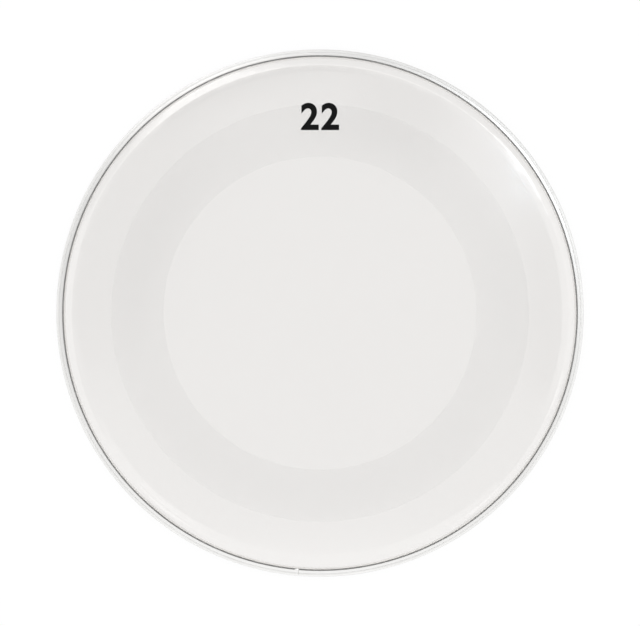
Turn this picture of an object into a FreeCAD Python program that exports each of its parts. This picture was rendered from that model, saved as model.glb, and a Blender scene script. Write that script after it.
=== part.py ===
import FreeCAD, Part
import Sketcher
import math
import os

# A clear 22 inch bass drum head, lying with its playing side up. A polyester film runs over a
# shoulder and down a collar into a rolled aluminium hoop. In the hoop's channel its hem is
# folded round a steel lock ring and set in resin. A belt of the same film is bonded under the
# flat field to damp overtones. The origin is the centre of the hoop's underside.

doc = FreeCAD.newDocument("BassDrumHead")

# Driving sizes: millimetres, degrees for the angles.
driving_sizes = {
    # drum shell that the head slips over
    "shell_diameter": 558.8,
    "shell_clearance": 1.8,
    # rolled channel hoop, and the sectors that its circles and the inner rings' are divided into
    "sector_count": 8,
    "hoop_wall": 0.9,
    "edge_round_share": 0.3,
    "inner_wall_step": 0.5,
    "mouth_gap": 1.25,
    "seam_gap": 0.5,
    "seam_angle": 265.2,
    "cut_overrun": 1.0,
    # film and its collar
    "film_thickness": 0.25,
    "shoulder_radius": 13.5,
    "collar_length": 1.095,
    "collar_angle": 50.0,
    "mouth_bend_radius": 6.0,
    # lock ring in the folded hem
    "lock_width": 4.0,
    "lock_height": 4.0,
    "lock_corner_radius": 0.85,
    "lock_gap": 2.0,
    # resin round the lock ring
    "resin_room": 2.9,
    "resin_depth": 3.95,
    "resin_neck": 0.3,
    # overtone belt and its bond layer
    "belt_margin": 41.31,
    "belt_width": 57.15,
    "belt_thickness": 0.25,
    "bond_thickness": 0.05,
    "bond_inset": 0.8,
}

sheet = doc.addObject("Spreadsheet::Sheet", "Sizes")
for row, (alias, size) in enumerate(driving_sizes.items(), start=1):
    sheet.set(f"A{row}", str(size))
    sheet.setAlias(f"A{row}", alias)
doc.recompute()

# Radii and heights where the pieces meet, all worked out from the driving sizes.
fitted_sizes = {
    "bore_radius": "Sizes.shell_diameter / 2 + Sizes.shell_clearance",
    "skirt_inside": "bore_radius + Sizes.hoop_wall",
    "skirt_outside": "skirt_inside + Sizes.film_thickness",
    "tail_inside": "skirt_outside + Sizes.lock_width",
    "tail_outside": "tail_inside + Sizes.film_thickness",
    "channel_radius": "tail_outside + Sizes.resin_room",
    "hoop_radius": "channel_radius + Sizes.hoop_wall",
    "lip_radius": "skirt_outside + Sizes.mouth_gap",
    "inside_bend": "Sizes.lock_corner_radius + Sizes.film_thickness",
    "outside_bend": "inside_bend + Sizes.hoop_wall",
    "edge_round": "Sizes.hoop_wall * Sizes.edge_round_share",
    "lock_bottom": "Sizes.hoop_wall + Sizes.film_thickness",
    "lock_top": "lock_bottom + Sizes.lock_height",
    "lip_bottom": "lock_top + Sizes.resin_depth",
    "hoop_height": "lip_bottom + Sizes.hoop_wall",
    "inner_wall_top": "hoop_height - Sizes.inner_wall_step",
    "resin_top": "lip_bottom + Sizes.resin_neck",
    "slope_sine": "sin(Sizes.collar_angle * 1 deg)",
    "slope_cosine": "cos(Sizes.collar_angle * 1 deg)",
    "bend_centre": "skirt_outside - Sizes.mouth_bend_radius",
    "bend_start": "bend_centre + Sizes.mouth_bend_radius * slope_sine",
    "bend_start_height": "hoop_height + Sizes.mouth_bend_radius * slope_cosine",
    "shoulder_end": "bend_start - Sizes.collar_length * slope_cosine",
    "shoulder_end_height": "bend_start_height + Sizes.collar_length * slope_sine",
    "crease_radius": "shoulder_end - Sizes.shoulder_radius * slope_sine",
    "film_top": "shoulder_end_height + Sizes.shoulder_radius * (1 - slope_cosine)",
    "film_bottom": "film_top - Sizes.film_thickness",
    "bond_bottom": "film_bottom - Sizes.bond_thickness",
    "belt_bottom": "bond_bottom - Sizes.belt_thickness",
    "belt_outside": "crease_radius - Sizes.belt_margin",
    "belt_inside": "belt_outside - Sizes.belt_width",
}

fits = doc.addObject("App::VarSet", "Fits")
for name, formula in fitted_sizes.items():
    fits.addProperty("App::PropertyFloat", name)
    fits.setExpression(name, formula)
    doc.recompute()


def value(expression):
    return fits.evalExpression(expression)


def start_body(label):
    body = doc.addObject("PartDesign::Body", label)
    body.Label = label
    return body


def start_sketch(body, name, role):
    sketch = body.newObject("Sketcher::SketchObject", name)
    plane = [part for part in body.Origin.OriginFeatures if part.Role == role][0]
    sketch.AttachmentSupport = [(plane, "")]
    sketch.MapMode = "FlatFace"
    return sketch


def bind(sketch, constraint, name, expression):
    index = sketch.addConstraint(constraint)
    sketch.renameConstraint(index, name)
    sketch.setExpression(f"Constraints.{name}", expression)


def bent_edge(start, end, radius):
    # Arc from start to end. A positive radius turns left, a negative one right.
    chord = end - start
    rise = math.sqrt(radius ** 2 - (chord.Length / 2) ** 2)
    left = FreeCAD.Vector(-chord.y, chord.x, 0).normalize()
    centre = (start + end) * 0.5 + left * math.copysign(rise, radius)
    first, last = (start, end) if radius > 0 else (end, start)
    circle = Part.Circle(centre, FreeCAD.Vector(0, 0, 1), abs(radius))
    first_turn = math.atan2(first.y - centre.y, first.x - centre.x)
    last_turn = math.atan2(last.y - centre.y, last.x - centre.x)
    return Part.ArcOfCircle(circle, first_turn, last_turn)


def draw_outline(body, role, corners, turns):
    # Closed outline of corners, each bound to the sheet. Those of a half section are (radius,
    # height). An edge that is listed in turns, by the corner it leaves, is an arc of that
    # sense and radius. An arc runs anticlockwise, so one that turns right leaves by its end.
    sketch = start_sketch(body, f"{body.Label}_{role}", role)
    points = [FreeCAD.Vector(value(across), value(up), 0) for across, up in corners]
    count = len(points)
    for index, start in enumerate(points):
        end = points[(index + 1) % count]
        if index in turns:
            sense, radius = turns[index]
            sketch.addGeometry(bent_edge(start, end, sense * value(radius)))
        else:
            sketch.addGeometry(Part.LineSegment(start, end))
    leaving = [2 if turns.get(index, (1, ""))[0] < 0 else 1 for index in range(count)]
    for index, (across, up) in enumerate(corners):
        before = index - 1 if index else count - 1
        end = (index, leaving[index])
        sketch.addConstraint(Sketcher.Constraint("Coincident", before, 3 - leaving[before], *end))
        for kind, axis, expression in (("DistanceX", -2, across), ("DistanceY", -1, up)):
            if expression == "0":
                sketch.addConstraint(Sketcher.Constraint("PointOnObject", *end, axis))
            else:
                place = Sketcher.Constraint(kind, -1, 1, *end, value(expression))
                bind(sketch, place, f"{kind}_{index}", expression)
    for index, (sense, radius) in turns.items():
        bind(sketch, Sketcher.Constraint("Radius", index, value(radius)), f"Turn_{index}", radius)
    return sketch


def revolve(body, sketch):
    disc = body.newObject("PartDesign::Revolution", body.Label + "_turn")
    disc.Profile = sketch
    disc.ReferenceAxis = (sketch, ["V_Axis"])
    disc.Angle = 360


def revolve_sectors(body, sketch):
    # Ring of equal sectors, so that every circle of the section is divided at the same angles.
    sector = body.newObject("PartDesign::Revolution", body.Label + "_sector")
    sector.Profile = sketch
    sector.ReferenceAxis = (sketch, ["V_Axis"])
    sector.setExpression("Angle", "360 deg / Sizes.sector_count")
    ring = body.newObject("PartDesign::PolarPattern", body.Label + "_ring")
    ring.Originals = [sector]
    ring.Axis = (sketch, ["V_Axis"])
    ring.Angle = 360
    ring.setExpression("Occurrences", "Sizes.sector_count")
    ring.Refine = False
    body.Tip = ring


def cut_gap(body, width, inside, outside, angle):
    # Straight slot across a ring on its +X side, which the body then turns to angle.
    near = f"{inside} - Sizes.cut_overrun"
    far = f"{outside} + Sizes.cut_overrun"
    corners = [
        (near, f"-{width} / 2"),
        (far, f"-{width} / 2"),
        (far, f"{width} / 2"),
        (near, f"{width} / 2"),
    ]
    gap = body.newObject("PartDesign::Pocket", body.Label + "_gap")
    gap.Profile = draw_outline(body, "XY_Plane", corners, {})
    gap.Type = "ThroughAll"
    gap.Midplane = True
    gap.Refine = False
    upright = FreeCAD.Vector(0, 0, 1)
    body.Placement = FreeCAD.Placement(FreeCAD.Vector(), FreeCAD.Rotation(upright, value(angle)))
    body.setExpression("Placement.Rotation.Angle", f"({angle}) * 1 deg")


def flat_ring(label, outside, inside, bottom, thickness):
    body = start_body(label)
    sketch = start_sketch(body, label + "_circles", "XY_Plane")
    sketch.setExpression("AttachmentOffset.Base.z", bottom)
    for index, (name, radius) in enumerate((("Outside", outside), ("Inside", inside))):
        circle = Part.Circle(FreeCAD.Vector(), FreeCAD.Vector(0, 0, 1), value(radius))
        sketch.addGeometry(circle)
        sketch.addConstraint(Sketcher.Constraint("Coincident", index, 3, -1, 1))
        bind(sketch, Sketcher.Constraint("Radius", index, value(radius)), name, radius)
    pad = body.newObject("PartDesign::Pad", label + "_pad")
    pad.Profile = sketch
    pad.setExpression("Length", thickness)
    return body


def make_flesh_hoop():
    # One strip, rolled into a channel with its top folded in over the mouth, bent into a ring
    # and butted at the seam.
    body = start_body("flesh_hoop")
    outer = "Fits.outside_bend"
    inner = "Fits.inside_bend"
    edge = "Fits.edge_round"
    corners = [
        ("Fits.bore_radius", outer),
        (f"Fits.bore_radius + {outer}", "0"),
        (f"Fits.hoop_radius - {outer}", "0"),
        ("Fits.hoop_radius", outer),
        ("Fits.hoop_radius", f"Fits.hoop_height - {outer}"),
        (f"Fits.hoop_radius - {outer}", "Fits.hoop_height"),
        (f"Fits.lip_radius + {edge}", "Fits.hoop_height"),
        ("Fits.lip_radius", f"Fits.hoop_height - {edge}"),
        ("Fits.lip_radius", f"Fits.lip_bottom + {edge}"),
        (f"Fits.lip_radius + {edge}", "Fits.lip_bottom"),
        (f"Fits.hoop_radius - {outer}", "Fits.lip_bottom"),
        ("Fits.channel_radius", f"Fits.hoop_height - {outer}"),
        ("Fits.channel_radius", outer),
        (f"Fits.hoop_radius - {outer}", "Sizes.hoop_wall"),
        (f"Fits.bore_radius + {outer}", "Sizes.hoop_wall"),
        ("Fits.skirt_inside", outer),
        ("Fits.skirt_inside", f"Fits.inner_wall_top - {edge}"),
        (f"Fits.skirt_inside - {edge}", "Fits.inner_wall_top"),
        (f"Fits.bore_radius + {edge}", "Fits.inner_wall_top"),
        ("Fits.bore_radius", f"Fits.inner_wall_top - {edge}"),
    ]
    turns = {
        0: (1, outer), 2: (1, outer), 4: (1, outer),
        6: (1, edge), 8: (1, edge),
        10: (-1, inner), 12: (-1, inner), 14: (-1, inner),
        16: (1, edge), 18: (1, edge),
    }
    revolve_sectors(body, draw_outline(body, "XZ_Plane", corners, turns))
    cut_gap(body, "Sizes.seam_gap", "Fits.bore_radius", "Fits.hoop_radius", "Sizes.seam_angle")
    return body


def make_batter_film():
    # Upper face from the centre out and down to the hem's edge, then back along the lower face.
    body = start_body("batter_film")
    thick = "Sizes.film_thickness"
    corner = "Sizes.lock_corner_radius"
    shoulder_inside = f"(Sizes.shoulder_radius - {thick})"
    mouth_inside = f"(Sizes.mouth_bend_radius - {thick})"
    corners = [
        ("0", "Fits.film_top"),
        ("Fits.crease_radius", "Fits.film_top"),
        ("Fits.shoulder_end", "Fits.shoulder_end_height"),
        ("Fits.bend_start", "Fits.bend_start_height"),
        ("Fits.skirt_outside", "Fits.hoop_height"),
        ("Fits.skirt_outside", f"Fits.lock_bottom + {corner}"),
        (f"Fits.skirt_outside + {corner}", "Fits.lock_bottom"),
        (f"Fits.tail_inside - {corner}", "Fits.lock_bottom"),
        ("Fits.tail_inside", f"Fits.lock_bottom + {corner}"),
        ("Fits.tail_inside", "Fits.lock_top"),
        ("Fits.tail_outside", "Fits.lock_top"),
        ("Fits.tail_outside", f"Fits.lock_bottom + {corner}"),
        (f"Fits.tail_inside - {corner}", "Sizes.hoop_wall"),
        (f"Fits.skirt_outside + {corner}", "Sizes.hoop_wall"),
        ("Fits.skirt_inside", f"Fits.lock_bottom + {corner}"),
        ("Fits.skirt_inside", "Fits.hoop_height"),
        (f"Fits.bend_start - {thick} * Fits.slope_sine",
         f"Fits.bend_start_height - {thick} * Fits.slope_cosine"),
        (f"Fits.shoulder_end - {thick} * Fits.slope_sine",
         f"Fits.shoulder_end_height - {thick} * Fits.slope_cosine"),
        ("Fits.crease_radius", "Fits.film_bottom"),
        ("0", "Fits.film_bottom"),
    ]
    turns = {
        1: (-1, "Sizes.shoulder_radius"),
        3: (-1, "Sizes.mouth_bend_radius"),
        5: (1, corner),
        7: (1, corner),
        11: (-1, "Fits.inside_bend"),
        13: (-1, "Fits.inside_bend"),
        15: (1, mouth_inside),
        17: (1, shoulder_inside),
    }
    revolve(body, draw_outline(body, "XZ_Plane", corners, turns))
    return body


def make_lock_ring():
    # Steel bar with rounded corners, its ends apart opposite the hoop's seam.
    body = start_body("lock_ring")
    corner = "Sizes.lock_corner_radius"
    corners = [
        ("Fits.skirt_outside", f"Fits.lock_bottom + {corner}"),
        (f"Fits.skirt_outside + {corner}", "Fits.lock_bottom"),
        (f"Fits.tail_inside - {corner}", "Fits.lock_bottom"),
        ("Fits.tail_inside", f"Fits.lock_bottom + {corner}"),
        ("Fits.tail_inside", f"Fits.lock_top - {corner}"),
        (f"Fits.tail_inside - {corner}", "Fits.lock_top"),
        (f"Fits.skirt_outside + {corner}", "Fits.lock_top"),
        ("Fits.skirt_outside", f"Fits.lock_top - {corner}"),
    ]
    turns = {index: (1, corner) for index in range(0, len(corners), 2)}
    revolve_sectors(body, draw_outline(body, "XZ_Plane", corners, turns))
    cut_gap(body, "Sizes.lock_gap", "Fits.skirt_outside", "Fits.tail_inside", "Sizes.seam_angle - 180")
    return body


def make_edge_sealant():
    # Resin over the lock ring and outside the hem, with a neck that shows in the mouth.
    body = start_body("edge_sealant")
    corners = [
        ("Fits.skirt_outside", "Fits.lock_top"),
        ("Fits.tail_outside", "Fits.lock_top"),
        ("Fits.tail_outside", "Sizes.hoop_wall"),
        ("Fits.hoop_radius - Fits.outside_bend", "Sizes.hoop_wall"),
        ("Fits.channel_radius", "Fits.outside_bend"),
        ("Fits.channel_radius", "Fits.hoop_height - Fits.outside_bend"),
        ("Fits.hoop_radius - Fits.outside_bend", "Fits.lip_bottom"),
        ("Fits.lip_radius", "Fits.lip_bottom"),
        ("Fits.lip_radius", "Fits.resin_top"),
        ("Fits.skirt_outside", "Fits.resin_top"),
    ]
    turns = {3: (1, "Fits.inside_bend"), 5: (1, "Fits.inside_bend")}
    revolve_sectors(body, draw_outline(body, "XZ_Plane", corners, turns))
    return body


def make_overtone_belt():
    return flat_ring("overtone_belt", "Fits.belt_outside", "Fits.belt_inside",
                     "Fits.belt_bottom", "Sizes.belt_thickness")


def make_belt_adhesive():
    return flat_ring("belt_adhesive", "Fits.belt_outside - Sizes.bond_inset",
                     "Fits.belt_inside + Sizes.bond_inset",
                     "Fits.bond_bottom", "Sizes.bond_thickness")


sub_parts = [
    make_flesh_hoop(),
    make_batter_film(),
    make_lock_ring(),
    make_edge_sealant(),
    make_overtone_belt(),
    make_belt_adhesive(),
]
doc.recompute()

for item in doc.Objects:
    if "Invalid" in item.State or "Error" in item.State:
        raise RuntimeError(f"{item.Label} failed: {item.State}")
for body in sub_parts:
    if body.Shape.isNull() or not body.Shape.isValid():
        raise RuntimeError(f"{body.Label} has no valid shape")

os.makedirs("parts", exist_ok=True)
for body in sub_parts:
    body.Shape.exportStep(f"parts/{body.Label}.step")
    box = body.Shape.optimalBoundingBox()
    across = f"{box.XLength:.2f} x {box.YLength:.2f} x {box.ZLength:.2f} mm"
    print(f"{body.Label}: {across}, {body.Shape.Volume:.1f} mm3")
print(f"hoop bore {fits.bore_radius * 2:.2f} mm, crease at {fits.crease_radius:.2f} mm radius")
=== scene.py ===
import math
import bmesh
import bpy
from mathutils import Matrix, Vector


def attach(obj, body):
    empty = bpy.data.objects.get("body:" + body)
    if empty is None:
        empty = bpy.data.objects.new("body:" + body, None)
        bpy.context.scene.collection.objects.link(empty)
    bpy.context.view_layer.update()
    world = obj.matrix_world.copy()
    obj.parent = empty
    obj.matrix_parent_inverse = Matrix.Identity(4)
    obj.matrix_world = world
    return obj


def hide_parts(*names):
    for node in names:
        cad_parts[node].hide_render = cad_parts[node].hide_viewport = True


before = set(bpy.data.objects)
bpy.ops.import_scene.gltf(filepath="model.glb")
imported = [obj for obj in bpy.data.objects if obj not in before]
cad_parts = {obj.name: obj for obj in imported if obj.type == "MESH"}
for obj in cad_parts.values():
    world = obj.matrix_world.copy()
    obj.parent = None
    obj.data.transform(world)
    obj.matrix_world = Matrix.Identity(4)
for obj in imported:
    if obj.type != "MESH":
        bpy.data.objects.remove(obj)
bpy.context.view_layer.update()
mm = 0.001  # the dictionaries below are in millimetres and degrees
scene = bpy.context.scene


# A lathe section is a list of (radius, height, rounding) corners.
def drawSection(bm, corners, closed):
    dots = [bm.verts.new((radius * mm, 0, height * mm)) for radius, height, rounding in corners]
    chain = dots + dots[:1] if closed else dots
    for first, second in zip(chain, chain[1:]):
        bm.edges.new((first, second))
    cuts = []
    for index, (radius, height, rounding) in enumerate(corners):
        if rounding:
            into = dots[index].co - dots[index - 1].co
            away = dots[(index + 1) % len(dots)].co - dots[index].co
            cuts.append((dots[index], rounding, into.angle(away)))
    for dot, rounding, turn in cuts:
        offset = rounding * mm * math.tan(turn / 2)
        segments = max(3, round(turn / math.radians(9)), round(turn * rounding / 0.7))
        bmesh.ops.bevel(bm, geom=[dot], affect="VERTICES", offset=offset, segments=segments,
                        profile=0.5, material=-1)


def spinSection(bm, steps, gap=0.0):
    # An eighth is spun and copied round, which is far quicker than one full spin.
    # gap is the angle left open at +X, in radians.
    eighth = (math.tau - gap) / 8
    turnBy(bm, bm.verts[:], gap / 2)
    bmesh.ops.spin(bm, geom=bm.verts[:] + bm.edges[:], cent=(0, 0, 0), axis=(0, 0, 1),
                   angle=eighth, steps=steps // 8)
    for copies in (1, 2, 4):
        more = bmesh.ops.duplicate(bm, geom=bm.verts[:] + bm.edges[:] + bm.faces[:])["geom"]
        turnBy(bm, [item for item in more if isinstance(item, bmesh.types.BMVert)], copies * eighth)
    bmesh.ops.remove_doubles(bm, verts=bm.verts[:], dist=1e-6)
    if gap:
        bmesh.ops.holes_fill(bm, edges=[edge for edge in bm.edges if edge.is_boundary])
    bmesh.ops.recalc_face_normals(bm, faces=bm.faces[:])


def turnBy(bm, verts, angle):
    bmesh.ops.rotate(bm, verts=verts, cent=(0, 0, 0), matrix=Matrix.Rotation(angle, 3, "Z"))


def ringPosition(vert):
    return math.hypot(vert.co.x, vert.co.y) / mm, math.atan2(vert.co.y, vert.co.x)


def smooth(low, high, x):
    t = min(1.0, max(0.0, (x - low) / (high - low)))
    return t * t * (3 - 2 * t)


def addPiece(bm, name, finish, node, creaseAngle=40, castsShadow=True):
    mesh = bpy.data.meshes.new(name)
    bm.to_mesh(mesh)
    bm.free()
    piece = bpy.data.objects.new(name, mesh)
    scene.collection.objects.link(piece)
    mesh.materials.append(finish)
    mesh.shade_smooth()
    mesh.set_sharp_from_angle(angle=math.radians(creaseAngle))
    piece.visible_shadow = castsShadow
    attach(piece, "root")
    if node:
        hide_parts(node)
    print(f"{name}: {len(mesh.vertices)} vertices, {len(mesh.polygons)} faces")
    return piece


class Signal:
    # one output socket of a node tree
    def __init__(self, tree, socket=None):
        self.tree = tree
        self.socket = socket

    def node(self, kind, settings=None, sockets=None, output=0):
        made = self.tree.nodes.new("ShaderNode" + kind)
        for name, setting in (settings or {}).items():
            setattr(made, name, setting)
        for name, given in (sockets or {}).items():
            if isinstance(given, Signal):
                self.tree.links.new(given.socket, made.inputs[name])
            else:
                made.inputs[name].default_value = given
        return Signal(self.tree, made.outputs[output] if made.outputs else None)

    def math(self, operation, first, second):
        return self.node("Math", {"operation": operation}, {0: first, 1: second})

    def __add__(self, other):
        return self.math("ADD", self, other)

    def __radd__(self, other):
        return self.math("ADD", other, self)

    def __sub__(self, other):
        return self.math("SUBTRACT", self, other)

    def __rsub__(self, other):
        return self.math("SUBTRACT", other, self)

    def __mul__(self, other):
        return self.math("MULTIPLY", self, other)

    def __rmul__(self, other):
        return self.math("MULTIPLY", other, self)

    def __pow__(self, other):
        return self.math("POWER", self, other)

    def larger(self, other):
        return self.math("MAXIMUM", self, other)

    def between(self, low, high, first, last):
        ends = {"From Min": low, "From Max": high, "To Min": first, "To Max": last}
        return self.node("MapRange", {"clamp": True}, {"Value": self, **ends})

    def blend(self, first, second):
        # colours mixed by this signal
        return self.node("Mix", {"data_type": "RGBA"}, {0: self, 6: first, 7: second}, 2)


def startFinish(name):
    material = bpy.data.materials.new(name)
    material.use_nodes = True
    material.node_tree.nodes.clear()
    return material, Signal(material.node_tree)


def showSurface(start, shader):
    start.node("OutputMaterial", None, {"Surface": shader})


def grain(start, scale, detail=3.0):
    place = start.node("TexCoord", None, None, 3)
    return start.node("TexNoise", None, {"Vector": place, "Scale": scale, "Detail": detail})


def splitPlace(start):
    place = start.node("TexCoord", None, None, 3)
    return [start.node("SeparateXYZ", None, {0: place}, index) for index in range(3)]


def ringRadius(start):
    x, y = splitPlace(start)[:2]
    return (x * x + y * y) ** 0.5


def ringGrain(start, across, along, detail=3.0):
    # noise drawn out along the circles round the axis, so it looks rolled
    x, y, z = splitPlace(start)
    turn = start.node("Math", {"operation": "ARCTAN2"}, {0: y, 1: x})
    lane = start.node("CombineXYZ", None, {0: ringRadius(start) * across, 1: z * across, 2: turn * along})
    return start.node("TexNoise", None, {"Vector": lane, "Scale": 1.0, "Detail": detail})


# Film
film = {
    "top": 19.488, "thickness": 0.22, "flatRings": (0, 60, 120, 180, 230, 246),
    "rollStart": 264.0, "rollRadius": 140.0, "rollAngle": 3.0,
    "shoulder": 13.5, "collarAngle": 50.0, "mouthBend": 6.0,
    "skirt": 282.33, "mouthCorner": 12.8,
    "hemBottom": 1.17, "hemCorner": 0.85, "hemOutside": 286.37, "hemTop": 5.15,
    "steps": 720, "puckers": 0.09, "puckersAbove": 11, "puckersEnd": 281.33, "puckersPeak": 3,
    "reflection": 0.062, "tint": (0.924, 0.916, 0.908, 1),
    "haze": 0.025, "hazeColour": (0.8, 0.795, 0.785, 1), "cloudScale": 9.0,
    "sharpGloss": 0.12, "softGloss": 0.3, "softShare": 0.15,
}
puckerWaves = [(17, 0.35, 0.6), (38, 0.3, 2.1), (61, 0.25, 0.4), (97, 0.2, 3.0)]  # count, share, phase


def clearFinish(name, sizes):
    finish, start = startFinish(name)
    facing = start.node("LayerWeight", None, {"Blend": 0.5}, 1)
    sheen = sizes["reflection"] + (1 - sizes["reflection"]) * facing ** 5
    cloud = grain(start, sizes["cloudScale"], 4.0)
    haze = sizes["haze"] * cloud.between(0.3, 0.7, 0.7, 1.3)  # up to a third more or less
    clear = start.node("BsdfTransparent", None, {"Color": sizes["tint"]})
    bloom = start.node("BsdfDiffuse", None, {"Color": sizes["hazeColour"]})
    sharp = start.node("BsdfAnisotropic", None, {"Color": (1, 1, 1, 1), "Roughness": sizes["sharpGloss"]})
    soft = start.node("BsdfAnisotropic", None, {"Color": (1, 1, 1, 1), "Roughness": sizes["softGloss"]})
    gloss = start.node("MixShader", None, {0: sizes["softShare"], 1: sharp, 2: soft})
    inside = start.node("MixShader", None, {0: haze, 1: clear, 2: bloom})
    showSurface(start, start.node("MixShader", None, {0: sheen, 1: inside, 2: gloss}))
    return finish


def makeFilm():
    bm = bmesh.new()
    roll = math.radians(film["rollAngle"])
    slope = math.tan(math.radians(film["collarAngle"]))
    rollCorner = film["rollStart"] + film["rollRadius"] * math.tan(roll / 2)
    # the corner where the rolled line meets the collar's line
    fall = film["top"] - film["mouthCorner"] - slope * (film["skirt"] - rollCorner)
    shoulderCorner = rollCorner + fall / (math.tan(roll) - slope)
    shoulderHeight = film["top"] - (shoulderCorner - rollCorner) * math.tan(roll)
    corners = [(radius, film["top"], 0) for radius in film["flatRings"]]
    corners += [
        (rollCorner, film["top"], film["rollRadius"]),
        (shoulderCorner, shoulderHeight, film["shoulder"]),
        (film["skirt"], film["mouthCorner"], film["mouthBend"]),
        (film["skirt"], film["hemBottom"], film["hemCorner"]),
        (film["hemOutside"], film["hemBottom"], film["hemCorner"]),
        (film["hemOutside"], film["hemTop"], 0),
    ]
    drawSection(bm, corners, closed=False)
    spinSection(bm, film["steps"])
    bmesh.ops.reverse_faces(bm, faces=bm.faces[:])  # playing side out, so the wall goes inwards
    bmesh.ops.solidify(bm, geom=bm.faces[:], thickness=film["thickness"] * mm)
    peak = shoulderCorner - film["puckersPeak"]
    for vert in bm.verts:  # faint puckers where the film turns over
        radius, turn = ringPosition(vert)
        if film["rollStart"] < radius < film["puckersEnd"] and vert.co.z > film["puckersAbove"] * mm:
            rise = smooth(film["rollStart"], peak, radius)
            fade = 1 - smooth(peak, film["puckersEnd"], radius)
            wave = sum(share * math.sin(count * turn + phase) for count, share, phase in puckerWaves)
            vert.co.z -= film["puckers"] * (1 + wave) * rise * fade * mm
    addPiece(bm, "batterFilm", clearFinish("clearFilm", film), "batter_film")


# Hoop
hoop = {
    "bore": 281.2, "outside": 290.4, "wall": 0.9, "height": 10.0, "innerTop": 9.5,
    "lip": 283.6, "bend": 2.0, "outerBend": 1.8, "edge": 0.2, "lipFall": 0.32, "outerFall": 0.6,
    "lineRadius": 286.85, "lineWidth": 0.5, "lineDepth": 0.2, "lineStep": 0.02,
    "lineRounding": 0.1, "lineFloorRounding": 0.06,
    "steps": 720, "seamAngle": 265.25, "seamGap": 0.25,
    "tongueReach": 1.25, "tongueSteps": 2.4, "tongueFlat": 0.4,
    "colour": (0.632, 0.629, 0.62, 1), "shade": (0.57, 0.567, 0.559, 1),
    # the brightest metal colour here is partly wear and partly a painted highlight, used in the mouth and on
    # the outer bend
    "bareAndHighlight": (0.9, 0.895, 0.885, 1), "lipColour": (0.594, 0.59, 0.582, 1),
    "rough": 0.26, "roughLines": 0.12, "roughScuffs": 0.06, "roughOutside": 0.2,
    "mattFrom": 0.2866, "mattTo": 0.287,  # metres, as the finish measures
}


def hoopFinish():
    finish, start = startFinish("rolledAluminium")
    lines = ringGrain(start, 1100, 4.0, 3.0)
    scuff = grain(start, 60.0, 5.0)
    radius = ringRadius(start)
    matt = radius.between(hoop["mattFrom"], hoop["mattTo"], 0.0, 1.0)  # outside the pressed line
    rolled = lines.between(0.35, 0.7, 0.0, 1.0).blend(hoop["shade"], hoop["colour"])
    # masks for the brighter metal in the mouth and on the outer bend, which is partly wear and partly a
    # painted highlight
    mouth = radius.between(0.283, 0.2834, 1.0, 0.0)
    bend = radius.between(0.2886, 0.2897, 0.0, 0.36)
    sheet = matt.blend(hoop["lipColour"], rolled)
    colour = mouth.larger(bend).blend(sheet, hoop["bareAndHighlight"])  # painted highlight: brighter metal in the mouth, lightening the wall seen through the collar, and on the outer bend for its highlight; partly rubbed bare too
    scuffs = scuff.between(0.5, 0.75, 0.0, 1.0)
    rough = hoop["rough"] + hoop["roughLines"] * lines + hoop["roughScuffs"] * scuffs
    rough = rough + hoop["roughOutside"] * matt
    relief = start.node("Bump", None, {"Strength": 0.03, "Distance": 0.0002, "Height": lines})
    showSurface(start, start.node("BsdfPrincipled", None, {
        "Base Color": colour, "Metallic": 1.0, "Roughness": rough, "Normal": relief}))
    return finish


def makeHoop():
    bm = bmesh.new()
    inside = hoop["bore"] + hoop["wall"]
    channel = hoop["outside"] - hoop["wall"]
    under = hoop["height"] - hoop["wall"]
    innerBend = hoop["bend"] - hoop["wall"]
    lineIn = hoop["lineRadius"] - hoop["lineWidth"] / 2
    lineOut = hoop["lineRadius"] + hoop["lineWidth"] / 2
    lineTop = hoop["height"] - hoop["lipFall"]  # the lip leans outwards a little
    outerTop = lineTop - hoop["outerFall"]
    corners = [
        (hoop["bore"], 0, hoop["bend"]),
        (hoop["outside"], 0, hoop["bend"]),
        (hoop["outside"], outerTop, hoop["outerBend"]),
        (lineOut, lineTop - hoop["lineStep"], hoop["lineRounding"]),
        (hoop["lineRadius"], lineTop - hoop["lineDepth"], hoop["lineFloorRounding"]),
        (lineIn, lineTop, hoop["lineRounding"]),
        (hoop["lip"], hoop["height"], hoop["edge"]),
        (hoop["lip"], under, hoop["edge"]),
        (channel, under, innerBend),
        (channel, hoop["wall"], innerBend),
        (inside, hoop["wall"], innerBend),
        (inside, hoop["innerTop"], hoop["edge"]),
        (hoop["bore"], hoop["innerTop"], hoop["edge"]),
    ]
    drawSection(bm, corners, closed=True)
    spinSection(bm, hoop["steps"], gap=hoop["seamGap"] / hoop["outside"])
    step = math.tau / hoop["steps"]
    for vert in bm.verts:  # one end of the lip is pinched in over the mouth at the seam
        radius, turn = ringPosition(vert)
        onLip = inside + 0.5 < radius < hoop["lineRadius"] and vert.co.z > under * mm - 1e-6
        if onLip and -hoop["tongueSteps"] * step < turn < 0:
            near = 1 - smooth(hoop["tongueFlat"] * step, hoop["tongueSteps"] * step, -turn)
            pull = hoop["tongueReach"] * near * (1 - smooth(hoop["lip"], hoop["lineRadius"], radius))
            vert.co.x -= pull * mm
    turnBy(bm, bm.verts[:], math.radians(hoop["seamAngle"]))
    addPiece(bm, "fleshHoop", hoopFinish(), "flesh_hoop", creaseAngle=35)


# Resin
resin = {
    "skirt": 282.38, "tail": 286.63, "channel": 289.46, "lip": 283.57,
    "lockTop": 5.18, "floor": 0.94, "underLip": 9.06, "top": 9.36, "bend": 1.08,
    "dip": 0.1, "dipRounding": 0.5, "beadAbove": 9.16,
    "steps": 720, "unevenness": 0.07,
    # the dark grey is partly painted shade: the sealant is made darker to stand in for the shadow gap where
    # the film goes into the hoop
    "colour": (0.205, 0.205, 0.203, 1), "pale": (0.33, 0.33, 0.325, 1),
}
beadWaves = [(31, 1.0, 0.0), (57, 0.7, 1.3), (113, 0.5, 0.2)]  # count, share, phase


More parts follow.
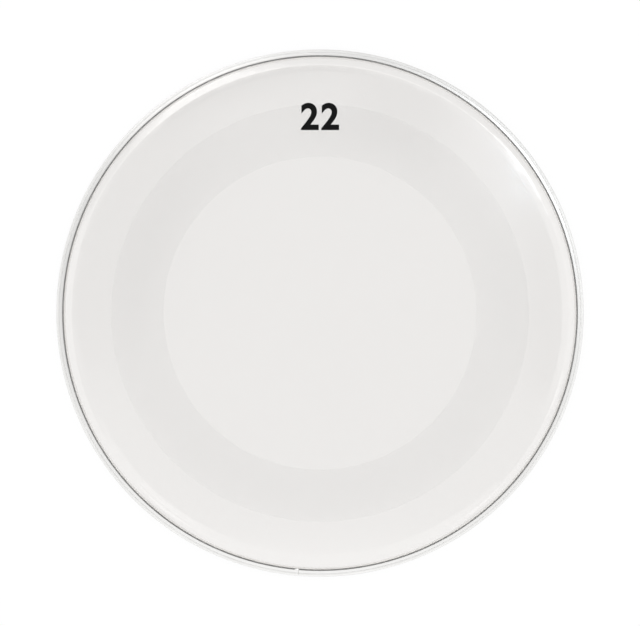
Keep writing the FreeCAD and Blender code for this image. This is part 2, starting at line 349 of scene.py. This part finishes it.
def resinFinish():
    finish, start = startFinish("resinWithPaintedShade")
    mottle = ringGrain(start, 900, 30.0, 4.0)
    specks = grain(start, 1400.0, 2.0)
    # dark grey sealant colour with painted shade of the gap at the film's mouth, mottled at random
    colour = mottle.between(0.35, 0.7, 0.0, 1.0).blend(resin["colour"], resin["pale"])
    rough = 0.38 + 0.2 * mottle
    relief = start.node("Bump", None, {"Strength": 0.3, "Distance": 0.0003, "Height": specks + mottle})
    showSurface(start, start.node("BsdfPrincipled", None, {
        "Base Color": colour, "Roughness": rough, "Normal": relief}))
    return finish


def makeResin():
    bm = bmesh.new()
    middle = (resin["skirt"] + resin["lip"]) / 2
    corners = [
        (resin["skirt"], resin["lockTop"], 0),
        (resin["tail"], resin["lockTop"], 0),
        (resin["tail"], resin["floor"], 0),
        (resin["channel"], resin["floor"], resin["bend"]),
        (resin["channel"], resin["underLip"], resin["bend"]),
        (resin["lip"], resin["underLip"], 0),
        (resin["lip"], resin["top"], 0),
        (middle, resin["top"] - resin["dip"], resin["dipRounding"]),
        (resin["skirt"], resin["top"], 0),
    ]
    drawSection(bm, corners, closed=True)
    spinSection(bm, resin["steps"])
    shares = sum(share for count, share, phase in beadWaves)
    for vert in bm.verts:  # hand-run bead, a little high and low along the mouth
        turn = ringPosition(vert)[1]
        if vert.co.z > resin["beadAbove"] * mm:
            wave = sum(share * math.sin(count * turn + phase) for count, share, phase in beadWaves)
            vert.co.z += resin["unevenness"] * (wave / shares - 0.5) * mm
    addPiece(bm, "edgeSealant", resinFinish(), "edge_sealant")


# Belt, with its bond layer on top
belt = {
    "inside": 171.44, "outside": 228.59, "bottom": 18.972, "top": 19.264, "edge": 0.06, "steps": 360,
    "reflection": 0.008, "tint": (0.99, 0.99, 0.99, 1),
    "haze": 0.008, "hazeColour": (0.84, 0.84, 0.85, 1),
    "sharpGloss": 0.12, "softGloss": 0.4, "softShare": 0.5, "cloudScale": 30.0,
}


def makeBelt():
    bm = bmesh.new()
    corners = [
        (belt["inside"], belt["bottom"], belt["edge"]),
        (belt["outside"], belt["bottom"], belt["edge"]),
        (belt["outside"], belt["top"], belt["edge"]),
        (belt["inside"], belt["top"], belt["edge"]),
    ]
    drawSection(bm, corners, closed=True)
    spinSection(bm, belt["steps"])
    finish = clearFinish("beltFilm", belt)
    piece = addPiece(bm, "overtoneBelt", finish, "overtone_belt", castsShadow=False)
    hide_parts("belt_adhesive")


# Size mark
mark = {
    "text": "22", "height": 29.9, "x": 0.0, "y": 215.3, "bottom": 19.49, "thickness": 0.016,
    "weight": 0.03, "spacing": 1.12,
    "ink": (0.005, 0.005, 0.005, 1), "thin": (0.009, 0.009, 0.009, 1),
}


def inkFinish():
    finish, start = startFinish("printInk")
    cover = grain(start, 420.0, 5.0)
    colour = cover.between(0.45, 0.8, 0.0, 1.0).blend(mark["ink"], mark["thin"])
    rough = 0.55 + 0.16 * cover
    relief = start.node("Bump", None, {"Strength": 0.1, "Distance": 0.0001, "Height": cover})
    showSurface(start, start.node("BsdfPrincipled", None, {
        "Base Color": colour, "Roughness": rough, "Specular IOR Level": 0.05, "Normal": relief}))
    return finish


def makeMark():
    letters = bpy.data.curves.new("sizeMark", "FONT")
    letters.body = mark["text"]
    letters.align_x = "CENTER"
    letters.align_y = "CENTER"
    letters.space_character = mark["spacing"]
    letters.offset = mark["weight"]
    letters.extrude = 0.5
    sketch = bpy.data.objects.new("sizeMarkSketch", letters)
    scene.collection.objects.link(sketch)
    bpy.context.view_layer.update()
    drawn = bpy.data.meshes.new_from_object(sketch.evaluated_get(bpy.context.evaluated_depsgraph_get()))
    bpy.data.objects.remove(sketch)
    low = Vector([min(vert.co[axis] for vert in drawn.vertices) for axis in range(3)])
    high = Vector([max(vert.co[axis] for vert in drawn.vertices) for axis in range(3)])
    scale = mark["height"] / (high.y - low.y)
    middle = (low + high) / 2
    size = Matrix.Diagonal((scale * mm, scale * mm, mark["thickness"] / (high.z - low.z) * mm, 1))
    place = Matrix.Translation(Vector((mark["x"], mark["y"], mark["bottom"] + mark["thickness"] / 2)) * mm)
    drawn.transform(place @ size @ Matrix.Translation(-middle))
    bm = bmesh.new()
    bm.from_mesh(drawn)
    bmesh.ops.remove_doubles(bm, verts=bm.verts[:], dist=1e-7)
    bmesh.ops.recalc_face_normals(bm, faces=bm.faces[:])
    addPiece(bm, "sizeMark", inkFinish(), None)


# Lock ring, the CAD node with a finish of its own
lockRing = {"colour": (0.56, 0.57, 0.58, 1), "stain": (0.42, 0.42, 0.41, 1), "rough": 0.3, "roughLines": 0.2}


def dressLockRing():
    finish, start = startFinish("lockSteel")
    lines = ringGrain(start, 1500, 20.0, 4.0)
    stain = grain(start, 90.0, 4.0)
    colour = stain.between(0.4, 0.7, 0.0, 1.0).blend(lockRing["colour"], lockRing["stain"])
    rough = lockRing["rough"] + lockRing["roughLines"] * lines
    relief = start.node("Bump", None, {"Strength": 0.15, "Distance": 0.0002, "Height": lines})
    showSurface(start, start.node("BsdfPrincipled", None, {
        "Base Color": colour, "Metallic": 1.0, "Roughness": rough, "Normal": relief}))
    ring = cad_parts["lock_ring"]
    ring.data.materials.clear()
    ring.data.materials.append(finish)
    print("lock ring dressed")


makeHoop()
makeResin()
dressLockRing()
makeBelt()
makeFilm()
makeMark()


# Studio
studio = {
    "floorSize": 14.0, "floorBelow": 0.05, "floorColour": (0.99, 0.99, 0.99, 1), "floorGlow": 0.88,
    "worldLight": 0.58,
}
viewpoint = {"lens": 100, "sensorWidth": 36, "place": (0, 0.0001, 1.966)}
# azimuth from +X, how far out and how high the near and the far edge are, width, radiance, coolness
softboxes = {
    "frontHigh": (270, 0.574, 2.45, 1.15, 1.9, 1.3, 0.6, 0),
    "frontLow": (270, 1.1, 1.75, 2.0, 0.12, 2.4, 0.6, 0),
    "rightHigh": (2, 0.7, 2.43, 1.15, 1.9, 0.6, 0.3, 0),
    "rightLow": (8, 1.1, 1.75, 2.0, 0.12, 1.5, 0.55, 0),
    "lowRight": (325, 1.0, 1.8, 2.0, 0.12, 0.9, 0.5, 0),
    "lowLeftHigh": (222, 0.68, 2.43, 1.1, 1.9, 0.4, 0.5, 0),
    "lowLeft": (195, 0.98, 1.86, 2.0, 0.12, 2.3, 0.5, 0),
    "upperLeft": (118, 0.87, 1.94, 2.0, 0.1, 0.62, 1.0, 0),
    "upperLeftWide": (118, 0.92, 1.92, 2.0, 0.1, 1.1, 0.5, 0),
    "upperTop": (60, 0.98, 2.2, 1.2, 1.9, 1.1, 0.75, 0),
    "upperRight": (37, 0.87, 1.88, 1.6, 1.6, 0.4, 1.8, 0.1),
    "upperRightCore": (36, 0.71, 1.92, 1.53, 1.5, 0.17, 2.2, 0.1),
    "upperRightLump": (36.5, 0.6, 1.95, 1.1, 1.8, 0.06, 2.2, 0.1),
    "upperRightEnd": (29, 0.74, 1.94, 1.2, 1.75, 0.06, 2.0, 0.1),
    "upperRightSoft": (37, 0.62, 2.45, 0.74, 2.43, 0.3, 0.8, 0.35),
    "upperRightSpot": (32.7, 0.59, 2.4, 0.61, 2.4, 0.02, 25, 0.35),
}


def paleRays(start):
    # 1 for what the camera sees directly, mirrored or through glass
    camera, glossy, through = (start.node("LightPath", None, None, name)
                               for name in ("Is Camera Ray", "Is Glossy Ray", "Is Transmission Ray"))
    return camera.larger(glossy).larger(through)


def addStage(bm, name, finish):
    mesh = bpy.data.meshes.new(name)
    bm.to_mesh(mesh)
    bm.free()
    mesh.materials.append(finish)
    backdrop = bpy.data.objects.new(name, mesh)
    scene.collection.objects.link(backdrop)
    return backdrop


def makeFloor():
    bm = bmesh.new()
    bmesh.ops.create_grid(bm, x_segments=1, y_segments=1, size=studio["floorSize"] / 2)
    bmesh.ops.translate(bm, verts=bm.verts[:], vec=(0, 0, -studio["floorBelow"] * mm))
    finish, start = startFinish("paleFloor")
    matt = start.node("BsdfDiffuse", None, {"Color": studio["floorColour"]})
    white = start.node("Emission", None, {"Color": (1, 1, 1, 1), "Strength": 1.0})
    glow = studio["floorGlow"] * paleRays(start)
    showSurface(start, start.node("MixShader", None, {0: glow, 1: matt, 2: white}))
    addStage(bm, "floor", finish)


# grey cards that only show mirrored, placed as the lamps are: the last two are width and brightness
cards = {
    "darkCard": (106, 0.6, 2.6, 0.92, 2.6, 0.72, 0.0),
    "leftCard": (158, 0.42, 2.6, 0.9, 2.6, 0.7, 0.58),
    "topCard": (68, 0.46, 2.6, 0.88, 2.6, 0.26, 0.35),
    "rightCard": (4, 0.52, 2.6, 0.66, 2.6, 0.5, 0.35),
}


def makeCards():
    for name, (azimuth, nearOut, nearUp, farOut, farUp, width, brightness) in cards.items():
        bm = bmesh.new()
        corners = [(nearOut, -width / 2, nearUp), (farOut, -width / 2, farUp),
                   (farOut, width / 2, farUp), (nearOut, width / 2, nearUp)]
        bm.faces.new([bm.verts.new(corner) for corner in corners])
        turnBy(bm, bm.verts[:], math.radians(azimuth))
        finish, start = startFinish(name)
        showSurface(start, start.node("Emission", None, {"Color": (1, 1, 1, 1), "Strength": brightness}))
        card = addStage(bm, name, finish)
        card.visible_camera = False
        card.visible_diffuse = False
        card.visible_transmission = False
        card.visible_shadow = False


def makeWorld():
    world = bpy.data.worlds.new("studio")
    scene.world = world
    world.use_nodes = True
    world.node_tree.nodes.clear()
    start = Signal(world.node_tree)
    strength = studio["worldLight"] + (1 - studio["worldLight"]) * paleRays(start)
    sky = start.node("Background", None, {"Color": (1, 1, 1, 1), "Strength": strength})
    start.node("OutputWorld", None, {"Surface": sky})


def makeSoftboxes():
    for name, (azimuth, nearOut, nearUp, farOut, farUp, width, radiance, coolness) in softboxes.items():
        away = Vector((math.cos(math.radians(azimuth)), math.sin(math.radians(azimuth)), 0))
        near = away * nearOut + Vector((0, 0, nearUp))
        far = away * farOut + Vector((0, 0, farUp))
        along = far - near
        back = away.cross((0, 0, 1)).cross(along).normalized()  # the lamp shines the other way
        lamp = bpy.data.lights.new(name, "AREA")
        lamp.shape = "RECTANGLE"
        lamp.size = width
        lamp.size_y = along.length
        lamp.energy = radiance * math.pi * width * along.length
        lamp.color = (1 - coolness, 1 - coolness / 2, 1)
        box = bpy.data.objects.new(name, lamp)
        scene.collection.objects.link(box)
        box.location = (near + far) / 2
        axes = Matrix((along.cross(back).normalized(), along.normalized(), back))
        box.rotation_euler = axes.transposed().to_euler()


def makeCamera():
    lens = bpy.data.cameras.new("camera")
    lens.lens = viewpoint["lens"]
    lens.sensor_width = viewpoint["sensorWidth"]
    camera = bpy.data.objects.new("camera", lens)
    scene.collection.objects.link(camera)
    camera.location = viewpoint["place"]
    scene.camera = camera


makeFloor()
makeCards()
makeWorld()
makeSoftboxes()
makeCamera()
scene.view_settings.view_transform = "Standard"
print("studio ready")
